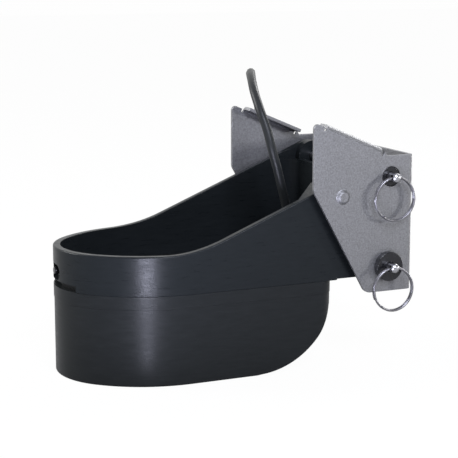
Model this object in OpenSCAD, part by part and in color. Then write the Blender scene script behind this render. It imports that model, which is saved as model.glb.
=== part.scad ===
// Transom-mount sonar transducer with a kick-up bracket, in millimetres.
// The flat acoustic window stands on z = 0. +X points at the transom, +Z up, -Y is the port side.

/* [Body] */
// Length from the stern tip to the transom face of the bracket
overall_l = 238; // [224:1:260]
// Width of the housing and of the acoustic block
body_w = 120; // [112:1:130]
// Length of the rounded stern
stern_l = 74; // [68:1:80]
// Radius of the stern tip seen from above
stern_tip_r = 50; // [46:1:53]
// Height of the parting line between acoustic block and housing
seam_z = 61.6; // [60:0.1:66]
// Height of the level rim at the stern
rim_z = 88.5; // [82:0.5:94]
// Slope of the rim where it climbs to the hinge, in degrees
rim_a = 22; // [19:0.5:25]
// Blend radius between the level and the sloping rim
rim_blend_r = 110; // [60:5:140]
// Wall of the housing
wall = 5; // [4:0.25:6]
// Distance from the transom face to the front of the acoustic block
nose_setback = 55; // [48:1:62]
// Radius of the nose in side view
nose_r = 60; // [45:1:60]
// Radius of the nose corners seen from above
nose_corner_r = 14; // [10:0.5:20]
// Height of the raised band under the parting line
band_h = 9; // [5:0.5:14]
// Depth by which the block steps in below the band
band_step = 0.3; // [0.2:0.1:1]
// Step from the parting line up to the underside of the hinge arm
arm_lift = 1; // [0.5:0.1:3]
// Thickness of the cup floor under the hinge arm
floor_t = 3; // [2.5:0.25:4]
// Distance from the transom face to the cup's front wall
cup_setback = 26; // [24:0.5:29]
// Height of the cup's front wall above the hinge axis, negative is below
cup_front_drop = -2; // [-8:0.5:2]
// Corner radius of the cup seen from above
cup_corner_r = 10; // [6:0.5:16]
// Width of the shelf on the port wall, level with the sloping rim
shelf_w = 18.5; // [10:0.5:22]
// Thickness of the shelf
shelf_t = 5; // [4:0.25:7]
// Distance from the transom face to the shelf's aft end
shelf_setback = 83; // [78:0.5:88]

/* [Stern port] */
// Length of the drain slot at the parting line
drain_l = 46; // [30:1:56]
// Height of the drain slot
drain_h = 4.5; // [3:0.25:6]
// Radius of the sensor recess
port_r = 5.3; // [4:0.1:6.5]
// Length of the straight part of the sensor recess
port_l = 14; // [6:0.5:18]
// Depth of the sensor recess
port_depth = 3.2; // [2:0.1:3.6]
// Height of the sensor recess above the parting line
port_rise = 10; // [9:0.5:14]
// Diameter of the temperature sensor
sensor_d = 5; // [4:0.25:6.5]

/* [Acoustic block] */
// Wall and window of the acoustic shell
shell_t = 7; // [5:0.5:9]
// Diameter of a low frequency ceramic
low_d = 24; // [20:0.5:24.5]
// Height of a low frequency ceramic
low_h = 26; // [18:1:28]
// Pitch of the low frequency ceramics
low_pitch = 26; // [25:0.25:26.5]
// Distance from the stern tip to the middle of the low frequency array
low_setback = 48; // [46.5:0.25:49]
// Diameter of the high frequency ceramic
high_d = 32; // [24:1:32]
// Height of the high frequency ceramic
high_h = 10; // [8:0.5:14]
// Distance from the stern tip to the high frequency ceramic
high_setback = 104; // [103.5:0.25:105]
// Height of the isolation block that holds the ceramics
isolation_h = 33; // [30:1:36]
// Length of the terminal board
board_l = 58; // [40:1:70]
// Width of the terminal board
board_w = 36; // [24:1:50]
// Thickness of the terminal board
board_t = 1.6; // [1:0.2:2.4]

/* [Bracket] */
// Gap between the body and an ear
ear_gap = 5.5; // [4:0.25:8]
// Sheet thickness
sheet_t = 2.5; // [2:0.25:3]
// Inside radius of the bends
bend_r = 1.5; // [1:0.25:3]
// Depth of an ear from the transom face to its aft edge
ear_l = 78; // [72:1:86]
// Length of an ear's lower edge
ear_foot_l = 37; // [34:1:46]
// Height of the bracket's lower edge
ear_base_z = 52.4; // [46:0.2:56]
// Height where the ear's aft edge turns to the slant
ear_knee_z = 126; // [116:1:134]
// Height of the transom plate's upper edge
plate_top_z = 147.6; // [146:0.2:149]
// Slope of the up-stop flange, in degrees
flange_a = 23; // [20:0.5:26]
// Width of the up-stop flange, measured from the ear's outer face
flange_w = 12; // [10:0.5:14]
// Length of the up-stop flange
flange_l = 46.5; // [36:0.5:48]
// Distance from the hinge axis to the near end of the flange, along its slope
flange_start = 13.5; // [12:0.5:16]
// Gap between flange and rim when the body is kicked up
stop_gap = 1.4; // [0.3:0.1:1.5]
// Drop of the ear's aft corner below the flange
ear_tab_drop = 2.4; // [1:0.2:4]
// Diameter of a dimple at its foot
dimple_d = 10.4; // [8:0.2:12]
// Height of a dimple
dimple_h = 2; // [1:0.25:2.5]
// Distance of a dimple from the transom face
dimple_setback = 55.5; // [48:0.5:60]
// Height of a dimple
dimple_z = 121; // [112:1:126]
// Width of a mounting slot
slot_w = 6.4; // [5:0.2:8]
// Length of a mounting slot
slot_l = 20; // [12:1:26]
// Distance between the two columns of slots
slot_span = 88; // [70:1:100]
// Distance between the slots of one column
slot_rise = 44; // [34:1:52]

/* [Hinge and latch] */
// Distance from the transom face to the hinge axis
hinge_setback = 18; // [17:0.25:20]
// Height of the hinge axis
hinge_z = 133; // [131:0.5:134]
// Distance from the transom face to the latch axis
latch_setback = 20; // [18:0.25:20.5]
// Height of the latch axis
latch_z = 70.5; // [70:0.25:76]
// Diameter of the hinge and latch pins
pin_d = 6.35; // [5:0.05:7]
// Radius of the hinge boss
boss_r = 11.8; // [9:0.2:12.6]
// Length of a hinge boss inside the housing wall
boss_l = 6; // [3:0.5:12]
// Diameter of the holes in the ears for the bushes
bush_d = 14; // [12:0.25:16]
// Diameter of a hinge bush's flange
hinge_flange_d = 21; // [18:0.5:22]
// Diameter of a latch bush's head
latch_head_d = 20.5; // [17:0.5:23]
// Height of a latch bush's head
latch_head_h = 4.5; // [3:0.25:6]
// Length of the hinge pin beyond an ear
hinge_reach = 9.5; // [8.5:0.25:13]
// Length of the latch pin beyond the head of its bush
latch_reach = 8.5; // [7:0.25:12]
// Distance from a pin's end to its ring hole
ring_hole_inset = 4; // [3.5:0.25:5]
// Diameter of the ring hole
ring_hole_d = 3.8; // [3.6:0.1:4.2]
// Outside diameter of a split ring
ring_d = 31.5; // [26:0.5:36]
// Wire diameter of a split ring
ring_wire_d = 1.6; // [1.2:0.1:1.7]

/* [Cable] */
// Diameter of the cable
cable_d = 6.5; // [5:0.25:8]
// Diameter of the gland's flange
gland_d = 18; // [14:0.5:22]
// Height of the gland's flange
gland_flange_h = 4; // [2:0.5:6]
// Height of the gland's bend relief
gland_h = 20; // [14:1:24]
// Mid-turn diameter of the coil
coil_d = 116; // [100:1:130]
// Turns side by side, and the same number of layers
coil_layers = 5; // [3:1:6]
// Thickness of the ties under and around the coil
tie_t = 1.5; // [1:0.25:2]
// Width of a tie
tie_w = 9; // [6:0.5:12]
// Diameter of the plug's collar
collar_d = 25; // [22:0.5:28]
// Length of the plug's collar
collar_l = 20; // [14:1:26]
// Diameter of the plug's body
plug_d = 19; // [16:0.5:21]
// Length of the plug's body
plug_l = 34; // [26:1:44]
// Diameter of a contact
contact_d = 1.5; // [1:0.1:2]

/* [Hidden] */
$fn = 96;

// Running clearance of a pin in its bore, and slack of pieces that are only pushed or potted in
running = 0.05;
slack = 0.1;
eps = 1;

// Small fixed sizes
sensor_back = 1;
sensor_dome = 1.2;
notch_gap = 0.15;
bush_gap = 0.2;
spigot_back = 0.4;
pin_dome = 0.6;
relief_w = 1.6;
plate_step = 3;
ear_tip_r = 3;
ear_knee_r = 7;
relief_foot = 6;
relief_top = 2.5;
collar_flutes = 16;
flute_r = 1.2;
flute_out = 0.4;
socket_wall = 2.5;
plug_neck = 3;
contacts = 5;

// Main stations along X
transom_x = overall_l / 2;
stern_x = -overall_l / 2;
nose_x = transom_x - nose_setback;
hinge_x = transom_x - hinge_setback;
latch_x = transom_x - latch_setback;
cup_front_x = transom_x - cup_setback - wall;
bay_x = transom_x - cup_setback;
arm_end_x = hinge_x + boss_r;

// Half widths, and the width over the ears
body_h = body_w / 2;
ear_in = body_h + ear_gap;
ear_out = ear_in + sheet_t;
bracket_w = 2 * ear_out;

// Stern outline: a tip arc and two flank arcs that meet it and the straight sides without a kink
stern_cx = stern_x + stern_l;
tip_cx = stern_x + stern_tip_r;
tip_off = stern_l - stern_tip_r;
flank_r = (tip_off * tip_off + body_h * body_h - stern_tip_r * stern_tip_r) / (2 * (body_h - stern_tip_r));
flank_y = flank_r - body_h;

// Heights
arm_z = seam_z + arm_lift;
floor_z = arm_z + floor_t;
cup_front_z = hinge_z + cup_front_drop;
housing_top = hinge_z + 2 * boss_r;

// Rim: level, blend arc, slope that is tangent to the hinge boss
rim_touch = [hinge_x - boss_r * sin(rim_a), hinge_z + boss_r * cos(rim_a)];
rim_corner_x = rim_touch[0] - (rim_touch[1] - rim_z) / tan(rim_a);
rim_tangent = rim_blend_r * tan(rim_a / 2);
function rim_at(x) = rim_touch[1] - (rim_touch[0] - x) * tan(rim_a);

// Bracket: the flange lands on the rim when the body has turned by rim_a + flange_a
bend_out = bend_r + sheet_t;
flange_top = boss_r + stop_gap + sheet_t;
ear_x = transom_x - ear_l;
foot_x = transom_x - ear_foot_l;

// Latch notch: an arc about the hinge, so that the pin can leave it as the body kicks up
latch_arc_r = norm([hinge_x - latch_x, hinge_z - latch_z]);
notch_r = pin_d / 2 + notch_gap;

// Rings hang from a cross hole near each pin end
ring_r = (ring_d - ring_wire_d) / 2;
ring_turn = 0.44 * ring_wire_d;
hinge_pin_half = ear_out + hinge_reach;
latch_pin_half = ear_out + latch_head_h + latch_reach;
hinge_ring_y = hinge_pin_half - ring_hole_inset;
latch_ring_y = latch_pin_half - ring_hole_inset;

// Inside of the acoustic block
isolation_z = shell_t + isolation_h;
low_x = stern_x + low_setback;
high_x = stern_x + high_setback;
board_x = (low_x + high_x) / 2;

// Cable: gland, route of the free stretch, coil, tail and plug.
// Their points are given for a transom face at route_transom_x, and move with it.
route_transom_x = 119;
cable_shift = [transom_x - route_transom_x, 0, 0];
cable_r = cable_d / 2;
gland_pos = [50, -10];
gland_top = floor_z + gland_flange_h + gland_h;
cable_start = [gland_pos[0], gland_pos[1], gland_top];
cable_route = [
    [50, -10, 98], [49, -10, 107], [46, -10, 119], [42, -10, 134], [38, -9, 149], [36, -5, 162],
    [34, 2, 175], [35, 14, 187], [40, 29, 194], [46, 44, 197], [53, 58, 197], [62, 76, 192],
    [71, 91, 182], [80, 103, 168], [87, 113, 150], [91, 120, 132], [91, 124, 114], [91, 125, 96],
    [91, 125, 80], [91, 126, 66], [92, 129, 53], [93, 135, 42], [94, 143, 34], [94, 153, 30]
];
coil_pos = [43, 168];
coil_w = coil_layers * cable_d;
coil_top = tie_t + coil_w;
tie_angles = [60, 180, 300];
tail_start = [15, 216, 28];
tail_route = [
    [0, 204, 32], [-9, 189, 36], [-13, 172, 40], [-12, 155, 43], [-6, 138, 46], [1, 127, 47.5],
    [10, 119, 48], [19, 116, 48]
];
plug_pos = [30, 116, coil_top + tie_t + collar_d / 2];
cable_sides = 10;

// Outline helpers

// Vector of length one
function unit(v) = v / norm(v);

// Rectangle from x0 to x1 whose two corners at x1 are round
module round_front(x0, x1, half, r) {
    translate([x0, -half]) square([x1 - r - x0, 2 * half]);
    translate([x0, r - half]) square([x1 - x0, 2 * (half - r)]);
    for (side = [-1, 1]) translate([x1 - r, side * (half - r)]) circle(r);
}

// Body seen from above, set in by inset, with its front at front_x
module plan(inset, front_x, front_r) {
    cut_x = tip_cx - (stern_tip_r - inset) * tip_off / (flank_r - stern_tip_r);
    translate([tip_cx, 0]) circle(stern_tip_r - inset);
    intersection() {
        translate([stern_cx, flank_y]) circle(flank_r - inset);
        translate([stern_cx, -flank_y]) circle(flank_r - inset);
        translate([cut_x, -body_h]) square([stern_cx + eps - cut_x, body_w]);
    }
    round_front(stern_cx, front_x, body_h - inset, front_r);
}

// What a radius r takes off the corner c between its neighbours a and b
module corner_cut(a, c, b, r) {
    u = unit(a - c);
    v = unit(b - c);
    half = acos(u * v) / 2;
    difference() {
        polygon([c + u * r / tan(half), c - unit(u + v), c + v * r / tan(half)]);
        translate(c + unit(u + v) * r / sin(half)) circle(r);
    }
}

// Side view, drawn in X and Z, carried across the width from -half to half
module across(half) {
    rotate([90, 0, 0]) linear_extrude(2 * half, center = true) children();
}

// Bar along Y through [x, z]
module bar_y(x, z, r, y0, y1) {
    translate([x, y1, z]) rotate([90, 0, 0]) cylinder(r = r, h = y1 - y0);
}

// Housing

// Side view of the housing: parting line, arm, hinge boss, sloping and level rim
module housing_side() {
    difference() {
        union() {
            polygon([
                [stern_x - eps, seam_z], [nose_x, seam_z], [nose_x, arm_z], [arm_end_x, arm_z],
                [arm_end_x, hinge_z], [hinge_x, hinge_z], rim_touch,
                [rim_corner_x + rim_tangent * cos(rim_a), rim_z + rim_tangent * sin(rim_a)],
                [rim_corner_x - rim_tangent, rim_z], [stern_x - eps, rim_z]
            ]);
            translate([hinge_x, hinge_z]) circle(boss_r);
        }
        translate([rim_corner_x - rim_tangent, rim_z + rim_blend_r]) circle(rim_blend_r);
    }
}

// Side view of the notch that the latch pin lies in
module latch_notch() {
    translate([latch_x, latch_z]) circle(notch_r);
    intersection() {
        translate([hinge_x, hinge_z]) difference() {
            circle(latch_arc_r + notch_r);
            circle(latch_arc_r - notch_r);
        }
        translate([latch_x, arm_z]) square([hinge_setback + boss_r, latch_arc_r / 2]);
    }
}

// Recess at the stern for the temperature sensor, along X
module sensor_recess() {
    translate([stern_x - eps, 0, seam_z + port_rise]) rotate([90, 0, 90]) linear_extrude(stern_tip_r / 2) {
        circle(port_r);
        translate([port_l, 0]) circle(port_r);
        translate([0, -port_r]) square([port_l, 2 * port_r]);
    }
}

// Room of the shelf on the port wall, whose aft end runs into the wall at 45 degrees
module port_shelf() {
    aft_x = transom_x - shelf_setback - wall;
    end_x = cup_front_x - cup_corner_r - wall;
    edge_y = shelf_w + wall - body_h;
    intersection() {
        linear_extrude(housing_top)
            polygon([[aft_x, -body_h], [aft_x + wall + shelf_w, edge_y], [end_x, edge_y], [end_x, -body_h]]);
        across(body_w) polygon([
            [aft_x, rim_at(aft_x) - shelf_t], [end_x, rim_at(end_x) - shelf_t],
            [end_x, housing_top + eps], [aft_x, housing_top + eps]
        ]);
    }
}

module housing() {
    color("#2e3234") difference() {
        union() {
            difference() {
                intersection() {
                    translate([0, 0, seam_z]) linear_extrude(housing_top - seam_z) plan(0, arm_end_x, eps);
                    across(body_h + eps) housing_side();
                }
                // Cup, with the shelf left in it
                difference() {
                    translate([0, 0, floor_z]) linear_extrude(housing_top)
                        plan(wall, cup_front_x, cup_corner_r);
                    port_shelf();
                }
                // Seat of the acoustic block's neck
                translate([0, 0, seam_z - eps]) linear_extrude(floor_z - seam_z + 2 * eps)
                    plan(wall, nose_x - wall, nose_corner_r - wall);
                // Open bay between the two hinge cheeks, and the cup's front wall cut down to its height
                translate([bay_x, wall - body_h, 0]) cube([arm_end_x, body_w - 2 * wall, housing_top]);
                translate([cup_front_x - cup_corner_r, wall - body_h, cup_front_z])
                    cube([arm_end_x, body_w - 2 * wall, housing_top]);
            }
            for (m = [0, 1]) mirror([0, m, 0])
                bar_y(hinge_x, hinge_z, boss_r, body_h - wall - boss_l, body_h);
        }
        bar_y(hinge_x, hinge_z, pin_d / 2 + running, -body_w, body_w);
        across(body_w) latch_notch();
        // Drain slot over the parting line
        translate([stern_x - eps, -drain_l / 2, seam_z - eps])
            cube([stern_tip_r / 2, drain_l, drain_h + eps]);
        // Sensor recess, left with a thin web behind it, and the sensor's hole
        difference() {
            sensor_recess();
            translate([0, 0, seam_z]) linear_extrude(housing_top) plan(port_depth, nose_x, eps);
        }
        translate([stern_x, port_l / 2, seam_z + port_rise]) rotate([0, 90, 0])
            cylinder(d = sensor_d + 2 * running, h = stern_tip_r / 2);
    }
}

module temperature_sensor() {
    tail = stern_tip_r - wall - (stern_tip_r - sqrt(pow(stern_tip_r, 2) - pow(port_l / 2, 2)));
    color("#1c1c1e") translate([tip_cx - tail, port_l / 2, seam_z + port_rise]) rotate([0, -90, 0]) {
        cylinder(d = sensor_d, h = wall - sensor_back);
        translate([0, 0, wall - sensor_back]) intersection() {
            sphere(d = sensor_d);
            cylinder(d = sensor_d, h = sensor_dome);
        }
    }
}

// Acoustic block

// Side view of the block between two heights, its nose set in by inset
module block_side(inset, base, top) {
    translate([stern_x - eps, base]) square([nose_x - nose_r - stern_x + eps, top - base]);
    intersection() {
        translate([nose_x - nose_r, nose_r]) circle(nose_r - inset);
        translate([nose_x - nose_r, 0]) square([nose_r, nose_r]);
    }
    translate([nose_x - nose_r, nose_r]) square([nose_r - inset, top - nose_r]);
}

// Block between two heights, set in by inset
module block(inset, z0, z1) {
    corner_r = max(nose_corner_r - inset, eps);
    intersection() {
        translate([0, 0, z0]) linear_extrude(z1 - z0) plan(inset, nose_x - inset, corner_r);
        across(body_w) block_side(inset, min(inset, z0), z1);
    }
}

module acoustic_shell() {
    color("#2d2b2f") difference() {
        union() {
            block(band_step, 0, seam_z - band_h);
            block(0, seam_z - band_h, seam_z);
            block(wall + slack, seam_z, floor_z);
        }
        block(shell_t, shell_t, floor_z + eps);
    }
}

// Places of the low frequency ceramics: one in the middle, six around it
function low_places() = [
    [low_x, 0],
    for (a = [0:60:300]) [low_x + low_pitch * cos(a), low_pitch * sin(a)]
];

module isolation_block() {
    color("#5a4632") difference() {
        block(shell_t + slack, shell_t, isolation_z);
        for (p = low_places()) translate([p[0], p[1], 0])
            cylinder(d = low_d + 2 * slack, h = isolation_z + eps);
        translate([high_x, 0, 0]) cylinder(d = high_d + 2 * slack, h = isolation_z + eps);
    }
}

module low_frequency_ceramics() {
    color("#d8cfb8") for (p = low_places()) translate([p[0], p[1], shell_t]) cylinder(d = low_d, h = low_h);
}

module high_frequency_ceramic() {
    color("#d8cfb8") translate([high_x, 0, shell_t]) cylinder(d = high_d, h = high_h);
}

module backing_pads() {
    color("#8a6a44") {
        for (p = low_places())
            translate([p[0], p[1], shell_t + low_h]) cylinder(d = low_d, h = isolation_h - low_h);
        translate([high_x, 0, shell_t + high_h]) cylinder(d = high_d, h = isolation_h - high_h);
    }
}

module terminal_board() {
    color("#2f5a3c") translate([board_x - board_l / 2, -board_w / 2, isolation_z])
        cube([board_l, board_w, board_t]);
}

module potting_fill() {
    color("#1d1e20") difference() {
        block(shell_t + slack, isolation_z, floor_z);
        translate([board_x - board_l / 2 - slack, -board_w / 2 - slack, isolation_z - eps])
            cube([board_l + 2 * slack, board_w + 2 * slack, board_t + eps + slack]);
    }
}

// Bracket

// Height of the ear's sloping upper edge
function ear_top(x) = hinge_z + flange_top / cos(flange_a) - tan(flange_a) * (x - hinge_x);

// Sheet seen from above: transom plate with both ears bent round
module bracket_plan() {
    difference() {
        round_front(ear_x, transom_x, ear_out, bend_out);
        round_front(ear_x - eps, transom_x - sheet_t, ear_in, bend_r);
    }
}

// Station of a point on the flange's upper face, at distance s down from the hinge axis
function flange_x(s) = hinge_x - s * cos(flange_a) + flange_top * sin(flange_a);

// Ear seen from the side
module ear_side() {
    end_x = flange_x(flange_start);
    tab_x = flange_x(flange_start + flange_l);
    tab = [tab_x, ear_top(tab_x) - ear_tab_drop];
    aft_top = [ear_x, ear_top(ear_x) - ear_tab_drop];
    knee = [ear_x, ear_knee_z];
    foot = [foot_x, ear_base_z];
    difference() {
        polygon([
            knee, aft_top, tab, [tab_x, ear_top(tab_x)], [end_x, ear_top(end_x)],
            [end_x + plate_step, plate_top_z], [transom_x, plate_top_z], [transom_x, ear_base_z], foot
        ]);
        corner_cut(knee, aft_top, tab, ear_tip_r);
        corner_cut(aft_top, knee, foot, ear_knee_r);
        corner_cut(knee, foot, [transom_x, ear_base_z], ear_knee_r);
    }
}

// Frame whose X runs down the flange and whose Z stands on it, at the hinge axis
module on_flange() {
    translate([hinge_x, 0, hinge_z]) rotate([0, flange_a, 0]) children();
}

// Inward flange of the port ear, with its bend
module flange() {
    on_flange() translate([-flange_start - flange_l, -ear_out, flange_top]) rotate([90, 0, 90])
        linear_extrude(flange_l) {
            translate([bend_out - eps, -sheet_t]) square([flange_w - bend_out + eps, sheet_t]);
            translate([0, -bend_out - eps]) square([sheet_t, 2 * eps]);
            intersection() {
                translate([bend_out, -bend_out]) difference() {
                    circle(bend_out);
                    circle(bend_r);
                }
                translate([0, -bend_out]) square(bend_out);
            }
        }
}

// Takes the sheet away above the flange's bend line, with a relief slit at each end
module flange_room() {
    on_flange() translate([-flange_start - flange_l, -ear_out - eps, flange_top - bend_out]) {
        cube([flange_l, sheet_t + 2 * eps, 2 * bend_out]);
        for (x = [-relief_w, flange_l])
            translate([x, 0, -relief_w / 2]) cube([relief_w, sheet_t + 2 * eps, 3 * bend_out]);
    }
}

// Cone of a port dimple, with a foot below the face y that it rises from; d is its diameter there
module dimple(y, d) {
    translate([transom_x - dimple_setback, y, dimple_z]) rotate([90, 0, 0]) rotate_extrude()
        polygon([[0, -eps], [d / 2, -eps], [d / 2, 0], [d / 2 - dimple_h, dimple_h], [0, dimple_h]]);
}

// Mounting slot through the transom plate, upright
module mounting_slot(y, z) {
    translate([transom_x - sheet_t - eps, y, z]) rotate([90, 0, 90]) linear_extrude(sheet_t + 2 * eps) {
        square([slot_w, slot_l - slot_w], center = true);
        for (side = [-1, 1]) translate([0, side * (slot_l - slot_w) / 2]) circle(d = slot_w);
    }
}

module bracket() {
    slot_z = (ear_base_z + plate_top_z) / 2;
    color("#8e8e95") difference() {
        union() {
            difference() {
                intersection() {
                    translate([0, 0, ear_base_z - eps]) linear_extrude(ear_top(ear_x)) bracket_plan();
                    across(ear_out + eps) ear_side();
                }
                for (m = [0, 1]) mirror([0, m, 0]) flange_room();
            }
            for (m = [0, 1]) mirror([0, m, 0]) {
                flange();
                dimple(-ear_out, dimple_d);
            }
        }
        for (m = [0, 1]) mirror([0, m, 0]) dimple(-ear_in, dimple_d - sheet_t / 2);
        bar_y(hinge_x, hinge_z, bush_d / 2, -bracket_w, bracket_w);
        bar_y(latch_x, latch_z, bush_d / 2, -bracket_w, bracket_w);
        for (y = [-1, 1], z = [-1, 1]) mounting_slot(y * slot_span / 2, slot_z + z * slot_rise / 2);
    }
}

// Pins, bushes and rings

// Straight pin with domed ends and a cross hole near each end
module pin(x, z, half, ring_y) {
    dome_r = pin_dome * pin_d;
    color("#c9c9cc") difference() {
        intersection() {
            bar_y(x, z, pin_d / 2, -half, half);
            translate([x, 0, z]) rotate([90, 0, 0]) rotate_extrude() intersection() {
                square([pin_d, 2 * half + eps], center = true);
                translate([0, -half]) square([pin_d, 2 * half]);
                union() {
                    translate([0, dome_r - half]) square([pin_d, 2 * (half - dome_r)]);
                    for (side = [-1, 1]) translate([0, side * (half - dome_r)]) circle(dome_r);
                }
            }
        }
        for (side = [-1, 1]) translate([x - pin_d, side * ring_y, z]) rotate([0, 90, 0])
            cylinder(d = ring_hole_d, h = 2 * pin_d);
    }
}

module hinge_pin() {
    pin(hinge_x, hinge_z, hinge_pin_half, hinge_ring_y);
}

module latch_pin() {
    pin(latch_x, latch_z, latch_pin_half, latch_ring_y);
}

// Bush of the starboard ear; each collar is [radius, inner end, outer end]
module bush(x, z, collars) {
    color("#2a282c") difference() {
        for (c = collars) bar_y(x, z, c[0], c[1], c[2]);
        bar_y(x, z, pin_d / 2 + running, 0, bracket_w);
    }
}

// Hinge bush: flange inside the ear as a spacer, spigot just short of the ear's outer face
module hinge_bush() {
    bush(hinge_x, hinge_z, [
        [hinge_flange_d / 2, body_h + bush_gap, ear_in],
        [bush_d / 2 - running, body_h + bush_gap, ear_out - spigot_back]
    ]);
}

// Latch bush: head outside the ear, spigot through to the cheek
module latch_bush() {
    bush(latch_x, latch_z, [
        [latch_head_d / 2, ear_out, ear_out + latch_head_h],
        [bush_d / 2 - running, body_h + bush_gap, ear_out + latch_head_h]
    ]);
}

module hinge_bush_port() {
    mirror([0, 1, 0]) hinge_bush();
}

module hinge_bush_starboard() {
    hinge_bush();
}

module latch_bush_port() {
    mirror([0, 1, 0]) latch_bush();
}

module latch_bush_starboard() {
    latch_bush();
}

// Split ring of two turns that hangs from [x, y, z]
module split_ring(x, y, z) {
    color("#c4c4c8") translate([x, y, z - ring_r]) rotate([90, 0, 0]) rotate_extrude()
        for (side = [-1, 1]) translate([ring_r, side * ring_turn]) circle(d = ring_wire_d);
}

module hinge_ring_port() {
    split_ring(hinge_x, -hinge_ring_y, hinge_z);
}

module hinge_ring_starboard() {
    split_ring(hinge_x, hinge_ring_y, hinge_z);
}

module latch_ring_port() {
    split_ring(latch_x, -latch_ring_y, latch_z);
}

module latch_ring_starboard() {
    split_ring(latch_x, latch_ring_y, latch_z);
}

// Cable

// Flanged boss with a tapering bend relief
module cable_gland() {
    color("#1f2022") translate(cable_shift) translate([gland_pos[0], gland_pos[1], floor_z]) {
        cylinder(d = gland_d, h = gland_flange_h);
        translate([0, 0, gland_flange_h])
            cylinder(d1 = cable_d + relief_foot, d2 = cable_d + relief_top, h = gland_h);
    }
}

// Direction of the route at point i
function heading(pts, i) = unit(pts[min(i + 1, len(pts) - 1)] - pts[max(i - 1, 0)]);

// Normals carried along the route without twist
function carried(pts, i, n) =
    let (t = heading(pts, i), m = unit(n - (n * t) * t))
    i == len(pts) - 1 ? [m] : concat([m], carried(pts, i + 1, m));

// Round tube along a route
module tube(pts, r, sides) {
    normals = carried(pts, 0, [0, 1, 0.1]);
    rings = [for (i = [0:len(pts) - 1], k = [0:sides - 1])
        let (n = normals[i], b = cross(heading(pts, i), n), a = 360 * k / sides)
        pts[i] + r * (cos(a) * n + sin(a) * b)];
    last = (len(pts) - 1) * sides;
    walls = [for (i = [0:len(pts) - 2], k = [0:sides - 1])
        let (j = (k + 1) % sides, p = i * sides)
        each [[p + k, p + sides + j, p + j], [p + k, p + sides + k, p + sides + j]]];
    polyhedron(rings, concat(walls, [[for (k = [0:sides - 1]) k], [for (k = [sides - 1:-1:0]) last + k]]));
}

module cable() {
    color("#232426") translate(cable_shift)
        tube(concat([cable_start], cable_route), cable_r, cable_sides);
}

// Outer shape of the coil's section
module coil_section(grow) {
    side = coil_w + 2 * grow;
    translate([coil_d / 2, tie_t + coil_w / 2]) square([side, side], center = true);
}

module cable_coil() {
    color("#232426") translate(cable_shift) translate([coil_pos[0], coil_pos[1], 0])
        rotate_extrude() coil_section(0);
}

// Three straps around the coil, which stands on them
module coil_ties() {
    color("#101011") translate(cable_shift) translate([coil_pos[0], coil_pos[1], 0])
        for (a = tie_angles) rotate([0, 0, a]) difference() {
            translate([0, tie_w / 2, 0]) rotate([90, 0, 0]) linear_extrude(tie_w) coil_section(tie_t);
            rotate_extrude() coil_section(slack);
        }
}

module cable_tail() {
    color("#232426") translate(cable_shift)
        tube(concat([tail_start], tail_route, [plug_pos]), cable_r, cable_sides);
}

// Plug that lies along X on the coil, its collar on a tie
module on_plug() {
    translate(cable_shift + plug_pos) rotate([0, 90, 0]) children();
}

module plug_body() {
    color("#1b1b1d") on_plug() difference() {
        union() {
            cylinder(d1 = cable_d + plug_neck, d2 = plug_d, h = plug_l / 3);
            translate([0, 0, plug_l / 3]) cylinder(d = plug_d, h = plug_l * 2 / 3 + collar_l / 2);
        }
        translate([0, 0, plug_l]) cylinder(d = plug_d - 2 * socket_wall, h = collar_l);
    }
}

// Threaded collar with finger flutes
module plug_collar() {
    color("#26272a") on_plug() translate([0, 0, plug_l]) difference() {
        cylinder(d = collar_d, h = collar_l);
        translate([0, 0, -eps]) cylinder(d = plug_d + 2 * running, h = collar_l + 2 * eps);
        for (k = [1:collar_flutes]) rotate([0, 0, 360 * (k + 0.5) / collar_flutes])
            translate([collar_d / 2 + flute_out, 0, collar_l / 5]) cylinder(r = flute_r, h = collar_l);
    }
}

module plug_contacts() {
    ring = plug_d / 4.5;
    color("#b08d3c") on_plug() for (k = [1:contacts]) rotate([0, 0, 360 * k / contacts])
        translate([ring, 0, plug_l]) cylinder(d = contact_d, h = collar_l / 2 - eps);
}

housing();
acoustic_shell();
isolation_block();
low_frequency_ceramics();
high_frequency_ceramic();
backing_pads();
terminal_board();
potting_fill();
temperature_sensor();
cable_gland();
cable();
cable_coil();
coil_ties();
cable_tail();
plug_body();
plug_collar();
plug_contacts();
bracket();
hinge_pin();
latch_pin();
hinge_bush_port();
hinge_bush_starboard();
latch_bush_port();
latch_bush_starboard();
hinge_ring_port();
hinge_ring_starboard();
latch_ring_port();
latch_ring_starboard();
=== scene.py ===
"""Dresses a transom-mount sonar transducer: housing, acoustic block, folded bracket and cable."""

import logging
import math
from collections.abc import Callable, Iterable, Sequence
from dataclasses import dataclass, field
from enum import Enum

import bmesh
import bpy
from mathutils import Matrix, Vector
from mathutils.bvhtree import BVHTree


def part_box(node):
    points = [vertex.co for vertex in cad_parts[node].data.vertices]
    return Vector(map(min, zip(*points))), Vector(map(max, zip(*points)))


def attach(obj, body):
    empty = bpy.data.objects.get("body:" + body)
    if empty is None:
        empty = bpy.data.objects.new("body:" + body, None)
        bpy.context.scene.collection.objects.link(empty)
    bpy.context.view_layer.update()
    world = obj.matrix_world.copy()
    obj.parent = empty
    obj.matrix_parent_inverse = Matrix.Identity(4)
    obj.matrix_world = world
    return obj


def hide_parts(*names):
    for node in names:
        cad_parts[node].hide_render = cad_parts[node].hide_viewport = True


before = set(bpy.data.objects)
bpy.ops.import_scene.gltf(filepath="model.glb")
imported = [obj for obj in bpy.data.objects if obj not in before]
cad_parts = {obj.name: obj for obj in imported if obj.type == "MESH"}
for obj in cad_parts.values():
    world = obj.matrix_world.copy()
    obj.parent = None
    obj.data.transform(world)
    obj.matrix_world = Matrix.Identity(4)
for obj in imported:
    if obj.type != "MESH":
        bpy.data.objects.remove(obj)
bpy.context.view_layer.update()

LOG = logging.getLogger("transducer")
MM = 0.001
# Corners of the solids' loose triangles that are this close are one corner.
MERGE_M = 2e-6
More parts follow.
